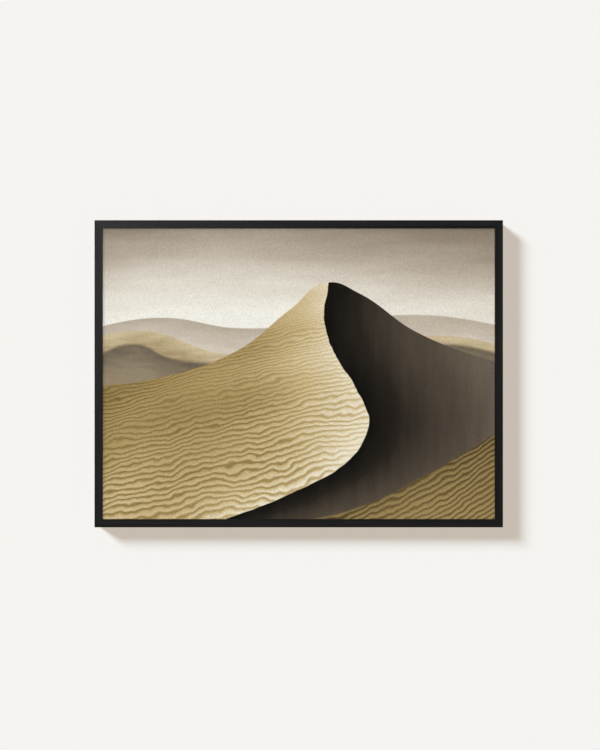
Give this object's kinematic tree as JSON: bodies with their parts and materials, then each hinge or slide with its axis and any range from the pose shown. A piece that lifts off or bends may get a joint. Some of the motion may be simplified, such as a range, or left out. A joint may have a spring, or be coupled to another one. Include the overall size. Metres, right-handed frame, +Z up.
{
  "type": "framed print",
  "caption": "Wide framed print for a wall: slim flat black wood moulding with mitred corners, clear glazing, backing board, sawtooth hanger and corner bumpers.",
  "frame": {"origin": "middle of the rear face of the sawtooth hanger, on the wall's plane", "axes": "+X along the picture's width, to the right of someone facing it; +Y out of the back, into the wall; +Z up"},
  "size_m": [1, 0.038, 0.752],
  "materials": {
    "black_wood": "satin",
    "clear_sheet": "polished",
    "printed_paper": "matte",
    "grey_board": "matte",
    "plated_steel": "satin",
    "black_rubber": "matte"
  },
  "bodies": {
    "root": {"rail_bottom": "black_wood", "rail_left": "black_wood", "rail_right": "black_wood", "rail_top": "black_wood", "glazing": "clear_sheet", "print": "printed_paper", "backing_board": "grey_board", "point_bottom_1": "plated_steel", "point_bottom_2": "plated_steel", "point_bottom_3": "plated_steel", "point_bottom_4": "plated_steel", "point_bottom_5": "plated_steel", "point_left_1": "plated_steel", "point_left_2": "plated_steel", "point_left_3": "plated_steel", "point_left_4": "plated_steel", "point_right_1": "plated_steel", "point_right_2": "plated_steel", "point_right_3": "plated_steel", "point_right_4": "plated_steel", "point_top_1": "plated_steel", "point_top_2": "plated_steel", "point_top_3": "plated_steel", "point_top_4": "plated_steel", "point_top_5": "plated_steel", "hanger": "plated_steel", "screw_left": "plated_steel", "screw_right": "plated_steel", "bumper_left": "black_rubber", "bumper_right": "black_rubber"}
  },
  "joints": []
}
